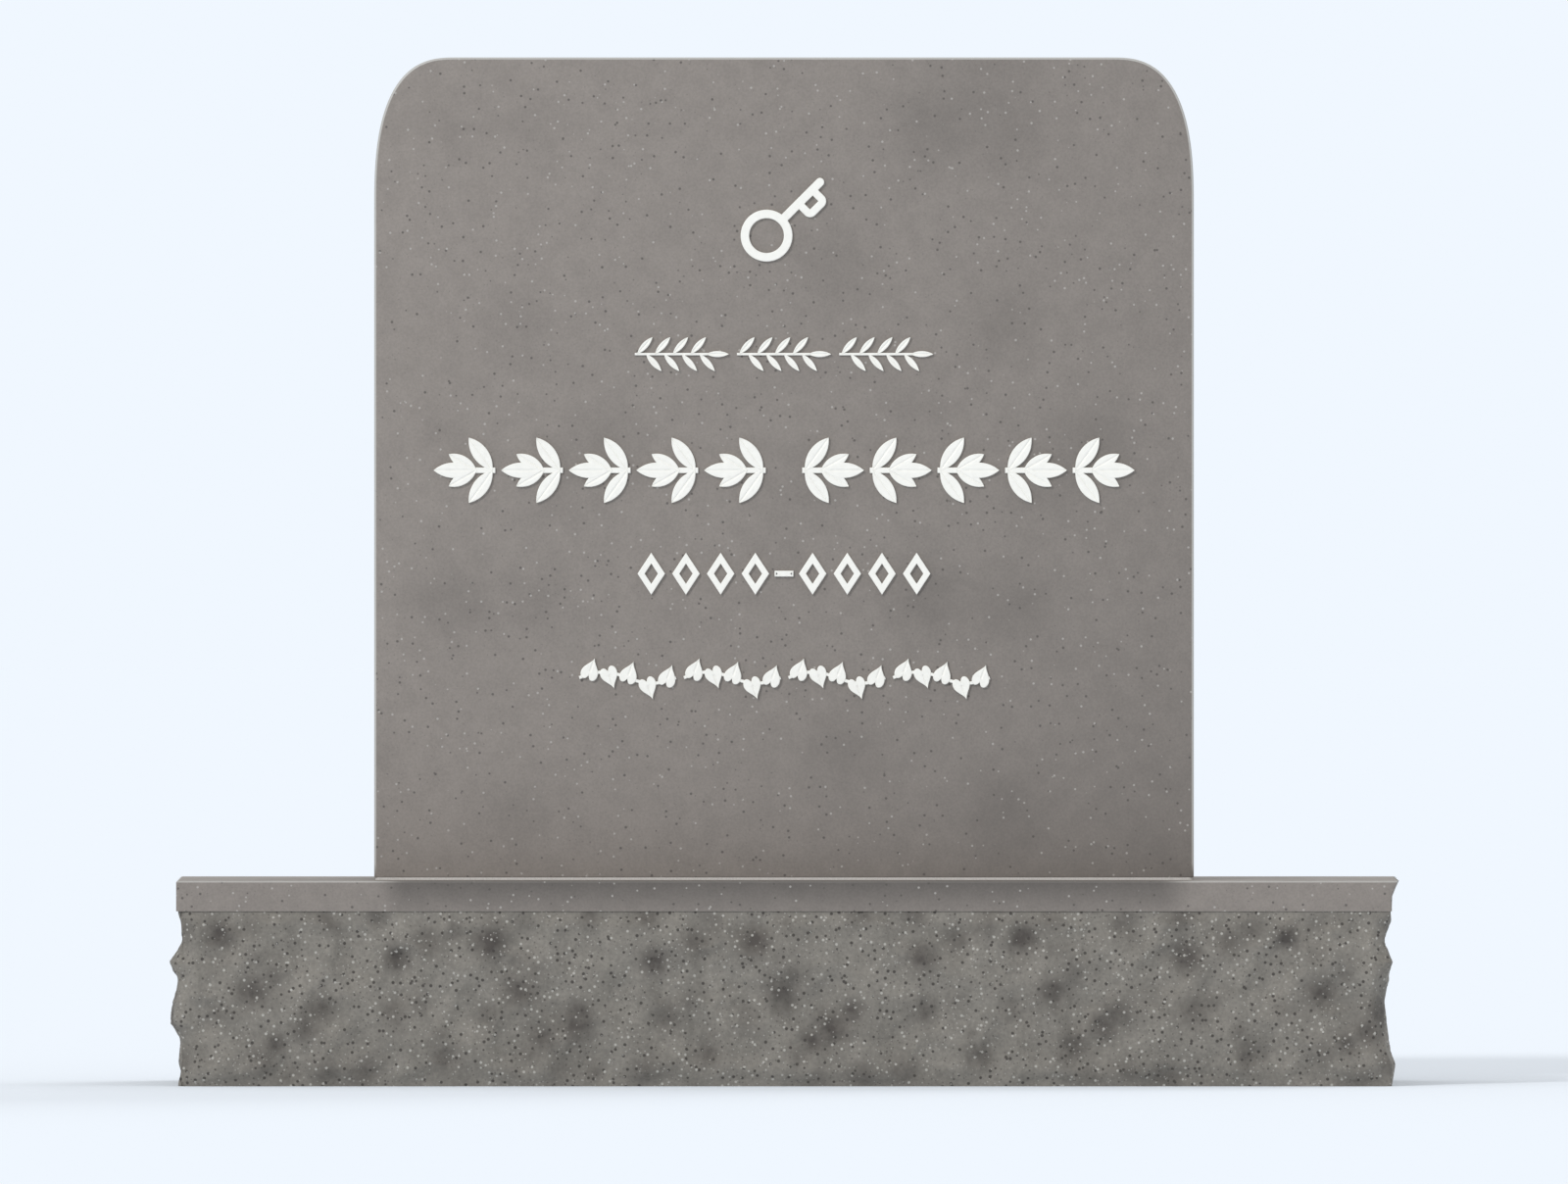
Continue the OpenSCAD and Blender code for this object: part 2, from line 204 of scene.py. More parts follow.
class HeadstoneSettings(bpy.types.PropertyGroup):
    tablet: PointerProperty(type=HeadstoneTablet)
    base: PointerProperty(type=HeadstoneBase)
    raised: PointerProperty(type=HeadstoneRaised)
    colours: PointerProperty(type=HeadstoneColours)
    stage: PointerProperty(type=HeadstoneStage)


def settings():
    """The scene's settings for the headstone."""
    return bpy.context.scene.headstone


# ---- Meshes ----

def grid_mesh(name, grid, slots=None, values=None, closed_rows=False):
    """A mesh from rows of points, each row a ring, with the quads' material slots and named values on the
    points. With closed_rows the last row joins the first. Points that lie on each other, where a ring
    shrinks to a line or a point, are merged, the faces that vanish there are dropped, and the faces are
    turned outwards."""
    rows, around = grid.shape[:2]
    r, c = np.meshgrid(np.arange(rows if closed_rows else rows - 1), np.arange(around), indexing="ij")
    up, right = (r + 1) % rows, (c + 1) % around
    faces = np.stack([r * around + c, r * around + right, up * around + right, up * around + c], axis=-1)
    mesh = bpy.data.meshes.new(name)
    mesh.vertices.add(rows * around)
    mesh.vertices.foreach_set("co", np.asarray(grid, np.float32).ravel())
    mesh.loops.add(faces.size)
    mesh.loops.foreach_set("vertex_index", faces.ravel().astype(np.int32))
    mesh.polygons.add(faces.size // 4)
    mesh.polygons.foreach_set("loop_start", np.arange(0, faces.size, 4, dtype=np.int32))
    if slots is not None:
        mesh.polygons.foreach_set("material_index", np.asarray(slots, np.int32).ravel())
    for key, value in (values or {}).items():
        mesh.attributes.new(key, "FLOAT", "POINT").data.foreach_set(
            "value", np.asarray(value, np.float32).ravel())
    mesh.update(calc_edges=True)
    work = bmesh.new()
    work.from_mesh(mesh)
    bmesh.ops.remove_doubles(work, verts=work.verts, dist=1e-6)
    bmesh.ops.dissolve_degenerate(work, edges=work.edges, dist=1e-7)
    bmesh.ops.recalc_face_normals(work, faces=work.faces)
    work.to_mesh(mesh)
    work.free()
    return mesh


def mesh_points(mesh):
    """The mesh's points as an array with one row for each."""
    points = np.empty(len(mesh.vertices) * 3, np.float32)
    mesh.vertices.foreach_get("co", points)
    return points.reshape(-1, 3)


def shade(mesh, crease):
    """Smooth faces, with a crisp edge wherever two of them turn by more than crease degrees."""
    mesh.shade_smooth()
    mesh.set_sharp_from_angle(angle=math.radians(crease))
    return mesh


def add_piece(name, mesh, materials, nodes):
    """Puts a finished mesh into the scene in place of its nodes."""
    piece = bpy.data.objects.new(name, mesh)
    for material in materials:
        mesh.materials.append(material)
    bpy.context.scene.collection.objects.link(piece)
    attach(piece, "root")
    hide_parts(*nodes)
    return piece


# ---- Patterns on a face ----

def ease(t):
    """0 to 1 with no slope at either end: 3t^2 - 2t^3."""
    t = np.clip(t, 0, 1)
    return t * t * (3 - 2 * t)


def lattice_noise(s, z, run, size, rng):
    """Soft noise from -1 to 1: random heights on a square lattice of that size, eased between its corners.
    It closes on itself after run along s."""
    across = max(3, round(run / size))
    up = int(np.ceil(np.max(z) / size)) + 3
    heights = rng.uniform(-1, 1, (across, up))
    u, v = s / run * across, np.clip(z / size, 0, up - 2)
    i, j = np.floor(u).astype(int), np.floor(v).astype(int)
    a, b = ease(u - i), ease(v - j)
    at = lambda di, dj: heights[(i + di) % across, j + dj]
    return (at(0, 0) * (1 - a) + at(1, 0) * a) * (1 - b) + (at(0, 1) * (1 - a) + at(1, 1) * a) * b


def scallops(s, z, run, size, stretch, rng):
    """Dishes left by chips that flew off, 0 at a dish's middle and about 1 on the sharp ridge between two:
    the least, over the nearest dish middles, of squared distance plus the dish's own height. There is one
    middle at a random place in each cell of a lattice, whose cells are taller than wide by stretch."""
    across = max(3, round(run / size))
    tall = size * stretch
    up = int(np.ceil(np.max(z) / tall)) + 4
    place = rng.uniform(0.1, 0.9, (2, across, up))
    level = rng.uniform(0, 0.35, (across, up))
    u, v = s / run * across, z / tall + 1
    i, j = np.floor(u).astype(int), np.floor(v).astype(int)
    least = np.full(np.broadcast(u, v).shape, 9.0)
    for di in (-2, -1, 0, 1, 2):
        for dj in (-2, -1, 0, 1, 2):
            ci, cj = (i + di) % across, np.clip(j + dj, 0, up - 1)
            square = (u - i - di - place[0, ci, cj]) ** 2 + (v - (j + dj) - place[1, ci, cj]) ** 2
            least = np.minimum(least, 1.3 * square + level[ci, cj])
    return least


def pockets(s, drop, run, rng):
    """How much of a dark pocket each point is in, 0 to 1, where drop is how far it lies below the base's
    top: bell curves round the middles, which are moved and dimmed a little in each run so that no two runs
    are alike."""
    runs = max(1, round(run / (POCKET_RUN * MM)))
    total = np.zeros(np.broadcast(s, drop).shape)
    for k in range(runs):
        for along, down, radius, dark in POCKETS:
            x = (k * run / runs + (along + rng.normal(0, 3)) * MM) % run
            z = (down + rng.normal(0, 2)) * MM
            r = radius * MM * rng.uniform(0.85, 1.2)
            gap = np.abs(s - x)
            gap = np.minimum(gap, run - gap)
            total = np.maximum(total, dark * rng.uniform(0.85, 1.05) * np.exp(
                -(gap ** 2 + (drop - z) ** 2) / (1.5 * r * r)))
    return total


# ---- Materials ----

# The finishes made so far, by name.
FINISHES = {}

# Quartz and feldspar bend light by about 1.55, and the glassy resin of baked enamel by about 1.5.
GRANITE_IOR = 1.55
ENAMEL_IOR = 1.5


def add_node(tree, kind, inputs=None, **options):
    """Adds a node. An input is a value or another node's output, and options are the node's own."""
    node = tree.nodes.new(kind)
    for key, value in options.items():
        setattr(node, key, value)
    for key, value in (inputs or {}).items():
        if isinstance(value, bpy.types.NodeSocket):
            tree.links.new(value, node.inputs[key])
        else:
            node.inputs[key].default_value = value
    return node


def made_once(make):
    """The finish that make gives, made the first time and used again after that."""
    def finish():
        if make.__name__ not in FINISHES:
            FINISHES[make.__name__] = make()
        return FINISHES[make.__name__]
    return finish


def new_material(name):
    """An empty material with its output and its Object coordinates."""
    material = bpy.data.materials.new(name)
    material.use_nodes = True
    tree = material.node_tree
    tree.nodes.clear()
    out = add_node(tree, "ShaderNodeOutputMaterial")
    coords = add_node(tree, "ShaderNodeTexCoord").outputs["Object"]
    return material, tree, out, coords


def surface_colour(tree, coords, colour, tones=(), stain=None, minerals=()):
    """A colour times each of the tones, then a stain over it, given as how much and its colour, then round
    specks of each mineral. A speck is a ball in the middle of each cell of a lattice, sliced by the stone's
    faces, so specks come in all sizes up to the mineral's radius. A mineral is its lattice's shift, cells
    per metre, radius in mm, softness, cover and colour."""
    layers = [("MULTIPLY", 1.0, tone) for tone in tones] + ([("MIX", *stain)] if stain else [])
    for shift, per_metre, radius, soft, cover, tint in minerals:
        moved = add_node(tree, "ShaderNodeMapping", {"Vector": coords, "Location": (shift, shift, shift)})
        cells = add_node(tree, "ShaderNodeTexVoronoi", {"Vector": moved.outputs["Vector"],
                                                        "Scale": per_metre, "Randomness": 1.0})
        edge = radius * MM * per_metre
        ball = add_node(tree, "ShaderNodeMapRange",
                        {"Value": cells.outputs["Distance"], "From Min": edge * (1 - soft),
                         "From Max": edge, "To Min": 1.0, "To Max": 0.0}, interpolation_type="SMOOTHSTEP")
        part = add_node(tree, "ShaderNodeMath", {0: ball.outputs["Result"], 1: cover},
                        operation="MULTIPLY")
        layers.append(("MIX", part.outputs[0], linear(tint)))
    for mode, factor, over in layers:
        colour = add_node(tree, "ShaderNodeMix", {0: factor, 6: colour, 7: over}, data_type="RGBA",
                          blend_type=mode).outputs[2]
    return colour


def drift(tree, coords, patch, limits, middle=0.2, detail=2.0, rough=0.5):
    """A value that drifts between two limits over patches of that size in mm: soft noise, whose part within
    middle of a half is spread over the limits with eased ends. Gives the value and the plain noise."""
    plain = add_node(tree, "ShaderNodeTexNoise", {"Vector": coords, "Scale": 1 / (patch * MM),
                                                  "Detail": detail, "Roughness": rough}).outputs["Fac"]
    value = add_node(tree, "ShaderNodeMapRange",
                     {"Value": plain, "From Min": 0.5 - middle, "From Max": 0.5 + middle,
                      "To Min": limits[0], "To Max": limits[1]}, interpolation_type="SMOOTHSTEP")
    return value.outputs["Result"], plain


def finish_surface(tree, out, colour, roughness, ior, height, strength, distance):
    """Gives the surface its colour, its gloss and a fine relief of that distance in mm."""
    bump = add_node(tree, "ShaderNodeBump", {"Height": height, "Strength": strength,
                                             "Distance": distance * MM})
    shader = add_node(tree, "ShaderNodeBsdfPrincipled", {"Base Color": colour, "Roughness": roughness,
                                                         "IOR": ior, "Normal": bump.outputs["Normal"]})
    tree.links.new(shader.outputs["BSDF"], out.inputs["Surface"])


@made_once
def polished_granite():
    """Fine warm-grey granite, sawn and polished to a soft sheen. The eye sees an even grey with soft
    clouds, a sprinkling of dark mica and pale feldspar, lighter honed edges that also carry a painted
    highlight, a dull bloom, and the painted light and shade that the mesh's tone holds."""
    material, tree, out, coords = new_material("granite_polished")
    colours = settings().colours
    # The mesh's tone holds the clouds and painted light and shade: the painted drift from a lit upper left,
    # the painted shadow under the tablet and the paler painted top of the base. Above 0 darker and below 0
    # lighter.
    clouds_and_painted_shade = add_node(tree, "ShaderNodeAttribute", attribute_name="tone").outputs["Fac"]
    tone = add_node(tree, "ShaderNodeMath", {0: 1.0, 1: clouds_and_painted_shade}, operation="SUBTRACT").outputs[0]
    mottle = drift(tree, coords, 16, (0.955, 1.045), detail=3)[0]
    grain = drift(tree, coords, 1.6, (0.93, 1.07), 0.25)[0]
    # One dark speck to each 300 sq mm of face, and as many pale ones.
    colour = surface_colour(tree, coords, colours.stone[:], (tone, mottle, grain), None, (
        (3.1, 125, 1.2, 0.4, 0.8, "#4A4541"), (1.3, 230, 0.65, 0.5, 0.4, "#5E5955"),
        (7.7, 125, 1.05, 0.4, 0.55, "#BBB8B3")))
    # The pale arris: honed stone, and also a painted highlight.
    arris = add_node(tree, "ShaderNodeAttribute", attribute_name="arris").outputs["Fac"]
    colour = surface_colour(tree, coords, colour, stain=(arris, colours.arris[:]))
    roughness = drift(tree, coords, 30, (0.38, 0.5))[0]
    polish = add_node(tree, "ShaderNodeTexNoise", {"Vector": coords, "Scale": 1 / (0.8 * MM),
                                                   "Detail": 1.0}).outputs["Fac"]
    finish_surface(tree, out, colour, roughness, GRANITE_IOR, polish, 0.08, 0.05)
    return material


@made_once
def rock_pitched_granite():
    """The same granite broken off with a pitching chisel. The eye sees coarse grey-green crystal, thick
    with black mica and white feldspar, dull all over, and dirt and shade in the hollows."""
    material, tree, out, coords = new_material("granite_rock_pitched")
    colours = settings().colours
    mottle = drift(tree, coords, 22, (0.86, 1.14), 0.25, 4, 0.6)[0]
    grain, crystal = drift(tree, coords, 2.6, (0.86, 1.14), 0.25, 3, 0.6)
    # The pockets' edges break up a little with the crystal.
    ragged = drift(tree, coords, 6, (0.8, 1.25), 0.25, 3)[0]
    # Dirt and painted shade in the pockets.
    hollow = add_node(tree, "ShaderNodeAttribute", attribute_name="pocket").outputs["Fac"]
    pocket = add_node(tree, "ShaderNodeMath", {0: hollow, 1: ragged}, operation="MULTIPLY",
                      use_clamp=True).outputs[0]
    # One black and one white speck to each 75 sq mm or so.
    colour = surface_colour(tree, coords, colours.rock[:], (mottle, grain), (pocket, colours.pocket[:]), (
        (2.3, 165, 1.5, 0.4, 0.92, "#3E3A36"), (8.9, 260, 0.8, 0.4, 0.6, "#4A4642"),
        (5.2, 160, 1.3, 0.45, 0.7, "#BBB9B2"), (4.4, 260, 0.75, 0.45, 0.6, "#A9A7A1")))
    finish_surface(tree, out, colour, 0.82, GRANITE_IOR, crystal, 0.5, 0.5)
    return material


@made_once
def setting_compound():
    """Pale setting compound, tooled smooth. The eye sees a thin dull line with a little sand in it."""
    material, tree, out, coords = new_material("compound_pale")
    tone, sand = drift(tree, coords, 1.2, (0.93, 1.07))
    colour = surface_colour(tree, coords, settings().colours.bed[:], (tone,))
    # It is mostly quartz sand, so it bends light as granite does.
    finish_surface(tree, out, colour, 0.85, GRANITE_IOR, sand, 0.3, 0.2)
    return material


@made_once
def raised_enamel():
    """Off-white baked enamel on raised work. The eye sees a clean warm white with a soft satin sheen and
    the faint unevenness of a brushed coat."""
    material, tree, out, coords = new_material("enamel_off_white")
    tone, coat = drift(tree, coords, 5, (0.965, 1.0), detail=3)
    colour = surface_colour(tree, coords, settings().colours.raised[:], (tone,))
    roughness = drift(tree, coords, 8, (0.4, 0.5))[0]
    finish_surface(tree, out, colour, roughness, ENAMEL_IOR, coat, 0.12, 0.15)
    return material


# ---- Base ----

def end_outline(outline, z, height):
    """How far an end stands out at height z, from its outline as shares of the proudest and deepest."""
    base = settings().base
    rows, shares = np.array(outline, float).T
    out = np.interp(z, rows / END_ROWS * height, shares)
    return np.where(out > 0, out * base.proud, out * base.fall)


def pitched_relief(s, z, run, rock_top):
    """Relief over the pitched stone, where s runs round the base and z up it: big dishes and small chips in
    places that are warped, a slow swell, the pockets and a fine grain. An envelope from 0 to 1 keeps it
    shallow near the foot and near the margin. Gives the relief, the envelope and the pockets."""
    sizes = settings().base
    rng = np.random.default_rng(SEED)
    warp_s = s + 5 * MM * lattice_noise(s, z, run, 22 * MM, rng)
    warp_z = z + 4 * MM * lattice_noise(s, z, run, 18 * MM, rng)
    dish = scallops(warp_s, warp_z, run, sizes.scallop, 1.35, rng)
    chip = scallops(warp_s, warp_z, run, sizes.chip, 1.2, rng)
    swell = lattice_noise(s, z, run, 60 * MM, rng)
    grain = 0.6 * lattice_noise(s, z, run, 4.5 * MM, rng) + 0.4 * lattice_noise(s, z, run, 2.4 * MM, rng)
    pocket = pockets(s, BASE_HIGH[2] - z, run, rng)
    relief = DISH_H * (dish - 0.33) + CHIP_H * chip + SWELL_H * swell - POCKET_H * pocket
    envelope = ease(np.minimum(z / (16 * MM), (rock_top - z) / (13 * MM)))
    relief = (envelope * relief + GRAIN_H * grain * ease((rock_top - z) / (2 * MM))) * MM
    return relief, envelope, pocket


def base_mesh():
    """Rings round the base, from the underside up the pitched stone and the margin to the top. A ring is a
    rectangle with rounded corners, and each point of the pitched stone is moved out square to it by the
    relief. At the two ends the outline seen from the front is the given one, and the relief only cuts into
    it."""
    sizes = settings().base
    half = BASE_HIGH[:2] - sizes.proud
    half_x, half_y = half
    top = BASE_HIGH[2]
    rock_top = top - sizes.margin_h

    # Round the ring: which side each point is on, how far along it, and the turn within a corner.
    along = [int(round(2 * size / ROUND_STEP)) for size in half] * 2
    bend = (np.arange(CORNER_STEPS) + 0.5) / CORNER_STEPS
    sides = np.concatenate([np.full(n + CORNER_STEPS, k) for k, n in enumerate(along)])
    part = np.concatenate([np.append((np.arange(n) + 0.5) / n, np.ones(CORNER_STEPS)) for n in along])
    turn = np.concatenate([np.append(np.zeros(n), bend) for n in along])
    angle = (sides + turn) * np.pi / 2
    normal = np.stack([np.sin(angle), -np.cos(angle)], axis=-1)
    on_long, sign = sides % 2 == 0, np.where(sides >= 2, -1.0, 1.0)

    def ring(corner):
        """The ring's points on the margin's face, with that corner radius."""
        flat = (part * 2 - 1)[:, None] * (half - corner)
        x = np.where(on_long, flat[:, 0], half_x - corner)
        y = np.where(on_long, corner - half_y, flat[:, 1])
        return np.stack([x * sign, y * sign], axis=-1) + normal * corner

    z = np.linspace(0, rock_top, int(round(rock_top / UP_STEP)) + 1)[:, None]
    start = ring(2 * MM)
    steps = np.linalg.norm(np.roll(start, -1, 0) - start, axis=1)
    relief, envelope, pocket = pitched_relief((np.cumsum(steps) - steps)[None, :], z, steps.sum(), rock_top)

    # Long faces: a hyperbolic tangent holds the relief softly between the proudest stone and the deepest
    # hollow.
    face = relief + (2 * envelope - 1) * SWELL_OUT
    limit = np.where(face > 0, 0.97 * sizes.proud, sizes.hollow)
    face = limit * np.tanh(face / limit)
    # Ends: the outline, cut into by the relief's depth below its highest place in each row.
    end = np.zeros_like(face)
    for side, way, outline in ((1, 1, RIGHT_END), (3, -1, LEFT_END)):
        highest = relief[:, (sides == side) & (turn == 0)].max(axis=1, keepdims=True)
        cut = end_outline(outline, z, rock_top) + END_CUT * (relief - highest)
        end = np.where(np.sign(start[:, 0]) == way, cut, end)
    # Near a corner the faces and the ends turn into each other, and the corner itself is knocked back.
    from_corner = half - np.abs(start)
    to_end = np.where(on_long, 1 - ease(from_corner[:, 0] / END_RUN), 1)
    moved = face * (1 - to_end) + end * to_end
    near = np.abs(from_corner).sum(axis=1) / (7 * MM)
    moved = (moved - KNOCKED * np.exp(-near ** 2) * envelope)[..., None]
    share = envelope[..., None]
    rock = (ring(ROCK_CORNER) + normal * moved) * share + (ring(CORNER) + normal * moved) * (1 - share)

    # Margin: straight up, guard rows so that the flat faces stay flat, and the arris by an arc.
    guard = sizes.margin_h - sizes.arris - 0.3 * MM
    straight = np.array([0, 0.3 * MM, 4 * MM, sizes.margin_h / 2, guard])
    # Then across the top: a guard row, and rows on the way to the line along its middle.
    inwards = np.array([0.4, 6, 20, 45, 75, 105]) * MM
    heights = np.concatenate([rock_top + straight, top - sizes.arris + sizes.arris * np.sin(ARC),
                              np.full(len(inwards), top)])
    inset = np.concatenate([0 * straight, sizes.arris * (1 - np.cos(ARC)), sizes.arris + inwards])
    margin = np.array([np.column_stack([ring(max(CORNER - d, 0.05 * MM)) * (half - d) / half,
                                        np.full(len(sides), h)]) for h, d in zip(heights, inset)])
    # The spur: the right end leans out towards its top edge, which is broken and has no arris.
    right = margin[0, :, 0] > half_x - 1.25 * MM
    lean = np.clip((heights - (top - sizes.spur_h)) / sizes.spur_h, 0, 1) * sizes.proud
    rise = len(straight) + len(ARC)
    deep = margin[0, right, 1]
    broken = 1 - 0.5 * (2 + np.sin(deep * 75 + 0.8) + np.sin(deep * 190)) / 4
    margin[:rise, right, 0] = margin[0, right, 0] + lean[:rise, None] * broken
    margin[rise, right, 0] = margin[rise - 1, right, 0] - 0.4 * MM
    margin[rise + 1, right, 0] = half_x - 6 * MM

    # Underside and top end in a line along the middle, with no width.
    middle = np.clip(start[:, 0], half_y - half_x, half_x - half_y)
    under, over = (np.column_stack([middle, 0 * middle, 0 * middle + h])[None] for h in (0, top))
    rock = np.concatenate([rock, np.broadcast_to(z[..., None], rock.shape[:2] + (1,))], axis=-1)
    foot = rock[:1].copy()
    foot[..., :2] -= normal * 2 * MM
    points = np.concatenate([under, foot, rock, margin, over])
    count, around = points.shape[:2]

    # Slots: 0 pitched stone, 1 polished stone. The underside and the spur are broken stone too.
    first = 2 + len(rock)
    on_spur = right & (sides == 1)
    slots = np.zeros((count - 1, around), int)
    slots[first:] = 1
    spur = first + np.flatnonzero(heights[:rise] >= top - sizes.spur_h - 1e-6)[0]
    slots[spur:first + rise - 1, on_spur] = 0

    # Values on the points: the pockets, the painted shadow under the tablet with the painted light on the
    # rest of the top, and the honed arris with its painted highlight.
    pocket_rows = np.zeros((count, around))
    pocket_rows[2:first] = pocket
    x, y, h = np.abs(points[..., 0]), np.abs(points[..., 1]), points[..., 2]
    # Painted shadow of the tablet: full across its width, fading out past its ends.
    under_tablet = ease((TABLET_HIGH[0] - x + PAINTED_SHADOW_PAST) / PAINTED_SHADOW_FADE)
    down = np.clip((top - h) / PAINTED_SHADOW_DOWN, 0, 1)
    on_face = (y > half_y - 1.5 * MM) & (np.arange(count)[:, None] >= first)
    # Painted shadow on the margin's faces, darkest at their top.
    tone = np.where(on_face, under_tablet * (PAINTED_SHADOW_HIGH * (1 - down) ** 0.8 + PAINTED_SHADOW_ALL), 0)
    # Painted shadow on the top along its edge under the tablet; painted light, a paler tone, on the rest of
    # the top.
    on_top = (h > top - 1e-5) & (y < half_y - 1.2 * MM)
    tone = np.where(on_top, PAINTED_SHADOW_TOP * under_tablet * (y > half_y - PAINTED_SHADOW_IN) - PAINTED_TOP_LIGHT, tone)
    arris = np.zeros((count, around))
    arris[first + len(straight) + 1:first + rise] = BASE_HONED_AND_HIGHLIGHT
    # Painted shadow: the arris's highlight is mostly taken away under the tablet, and the broken spur has
    # no arris.
    arris *= (1 - 0.85 * under_tablet) * ~on_spur
    values = {"pocket": pocket_rows, "tone": tone, "arris": arris}
    return shade(grid_mesh("stone_base", points, slots, values), STONE_CREASE)


# ---- Tablet and its bed ----

def tablet_outline(inset):
    """The tablet from the front, anticlockwise from its foot's middle: straight foot and sides, shoulders
    on |u|^n + |v|^n = 1, and a straight top. Inset pulls it in all round, and less at the sharper foot."""
    sizes = settings().tablet
    half, top = TABLET_HIGH[0], TABLET_HIGH[2]
    foot = TABLET_LOW[2] + 0.3 * inset
    a = np.linspace(0, np.pi / 2, 45)
    u, v = np.cos(a) ** (2 / sizes.shoulder_power), np.sin(a) ** (2 / sizes.shoulder_power)
    u[-1], v[0] = 0, 0
    shoulder = np.column_stack([half - sizes.shoulder_w + (sizes.shoulder_w - inset) * u,
                                top - sizes.shoulder_h + (sizes.shoulder_h - inset) * v])
    side = np.column_stack([np.full(50, half - inset),
                            np.linspace(foot, shoulder[0, 1], 51)[:-1]])
    across = np.linspace(0, 1, 31)[1:]
    head = np.column_stack([shoulder[-1, 0] * (1 - across), np.full(30, top - inset)])
    bottom = np.column_stack([(half - inset) * across[:-1], np.full(29, foot)])
    right = np.concatenate([bottom, side, shoulder, head])
    left = right[:-1][::-1] * np.array([-1, 1])
    return np.concatenate([right, left, [[0, foot]]])


def tablet_mesh():
    """The outline carried from the back to the front: rings that grow from a point in the middle of the
    back to the eased edge, along the thickness, and in again to a point in the middle of the front."""
    arris = settings().tablet.arris
    back, front = TABLET_HIGH[1], TABLET_LOW[1]
    top, foot = TABLET_HIGH[2], TABLET_LOW[2]
    guard = arris + GUARD
    edge = [(tablet_outline(arris * (1 - np.sin(t))), arris * (1 - np.cos(t))) for t in ARC]
    rim = tablet_outline(guard)
    centre = np.array([0, foot + 0.45 * (top - foot)])
    flats = [rim, *(centre + (rim - centre) * (1 - np.linspace(0, 1, 34))[1:, None, None])]
    # Each ring's outline, its place along the thickness, and whether it is on an arris.
    rings = [(line, back, 0) for line in reversed(flats)]
    rings += [(line, back - fall, 1) for line, fall in edge]
    rings += [(tablet_outline(0), y, 0) for y in np.linspace(back - guard, front + guard, 13)]
    rings += [(line, front + fall, 1) for line, fall in reversed(edge)]
    rings += [(line, front, 0) for line in flats]
    lines, depth, eased = (np.array(column) for column in zip(*rings))
    x, z = lines[..., 0], lines[..., 1]
    y = np.broadcast_to(depth[:, None], x.shape)
    # Behind the front the clouds drift sideways, so that the sides and the back have their own.
    tone = np.zeros(x.shape)
    for side, down, radius, deep in CLOUDS:
        away = (x - side * MM - 0.6 * (y - FACE_Y)) ** 2 + (top - z - down * MM) ** 2
        tone += CLOUD_DEPTH * deep * np.exp(-away / (2 * (CLOUD_SPREAD * radius * MM) ** 2))
    # Painted light and shade: a drift from a paler upper left, where the light falls, to a darker lower
    # right.
    across, down = (x / TABLET_HIGH[0] + 1) / 2, (top - z) / (top - foot)
    tone += PAINTED_SHADE_ACROSS * (across - 0.5) + PAINTED_SHADE_DOWN * (down - 0.4)
    tone += PAINTED_SHADE_CORNER * np.clip(across + down - 1.1, 0, 1) ** 2
    # Honed edges, also a painted highlight, pale all round and fading out towards the foot.
    honed_and_highlight = TABLET_HONED_AND_HIGHLIGHT * eased[:, None] * ease((z - foot) / (6 * MM) - 0.5)
    points = np.stack([x, y, z], -1)
    return shade(grid_mesh("stone_tablet", points, None, {"tone": tone, "arris": honed_and_highlight}), STONE_CREASE)


def bed_mesh():
    """The setting compound: a rectangle with rounded corners carried upwards, with its edge tooled to a
    shallow hollow by a sine, closed over and under on a line along its middle."""
    half = (BED_HIGH - BED_LOW)[:2] / 2
    low, high = BED_LOW[2], BED_HIGH[2]
    around, corner, hollow = 80, 3 * MM, 0.2 * MM
    turn = np.arange(around) / around * 2 * np.pi
    side = np.stack([np.cos(turn), np.sin(turn)], -1)
    ring = np.sign(side) * (half - corner) + side * corner
    middle = np.clip(ring[:, 0], half[1] - half[0], half[0] - half[1])
    line = np.column_stack([middle, 0 * middle])
    up = np.linspace(0, 1, 7)
    rows = [(line, low), *((ring - side * hollow * np.sin(np.pi * t), low + (high - low) * t) for t in up),
            (line, high)]
    points = np.array([np.column_stack([row, np.full(around, z)]) for row, z in rows])
    return shade(grid_mesh("compound", points), STONE_CREASE)


# ---- Raised work ----

def relief_shell(outline, inner, height, pierced=False, rib=False):
    """A raised shape between an outline and an inner line of as many points: (x, up, height) rows that run
    under the shape, up its wall, round its edge by an arc, and over the top to the inner line. A pierced
    shape comes down again on the inner side. A rib is a groove that falls off as a bell curve from the
    inner line."""
    sizes = settings().raised
    outline, inner = np.asarray(outline, float), np.asarray(inner, float)
    gap = np.linalg.norm(inner - outline, axis=1)
    edge = np.minimum(sizes.edge, 0.4 * gap)
    rows = [(edge * (1 - np.cos(t)), height - edge + edge * np.sin(t)) for t in ARC]
    rows.append((edge + 0.04 * (gap - edge), np.full(len(gap), height)))
    foot = np.full(len(gap), -sizes.bedded)
    if pierced:
        back = [(gap - d, h) for d, h in reversed(rows)]
        rows = [(0 * gap, foot)] + rows + back + [(gap, foot)]
    else:
        deep = sizes.groove * np.clip(gap / (2.5 * sizes.groove_w), 0, 1) if rib else 0 * gap
        for q in (0.3, 0.5, 0.62, 0.74, 0.86, 0.93, 1.0):
            d = edge + q * (gap - edge)
            rows.append((d, height - deep * np.exp(-((gap - d) / sizes.groove_w) ** 2)))
        rows = [(gap, foot), (0 * gap, foot)] + rows
    away = (inner - outline) / np.maximum(gap, 1e-9)[:, None]
    points = np.array([np.column_stack([outline + away * d[:, None], h]) for d, h in rows])
    return grid_mesh("shell", points, closed_rows=pierced)


def turned(points, degrees, shift=(0, 0)):
    """Points in the face's plane, turned about the origin and then moved."""
    a = math.radians(degrees)
    spin = np.array([[math.cos(a), math.sin(a)], [-math.sin(a), math.cos(a)]])
    return np.asarray(points) @ spin + np.array(shift)


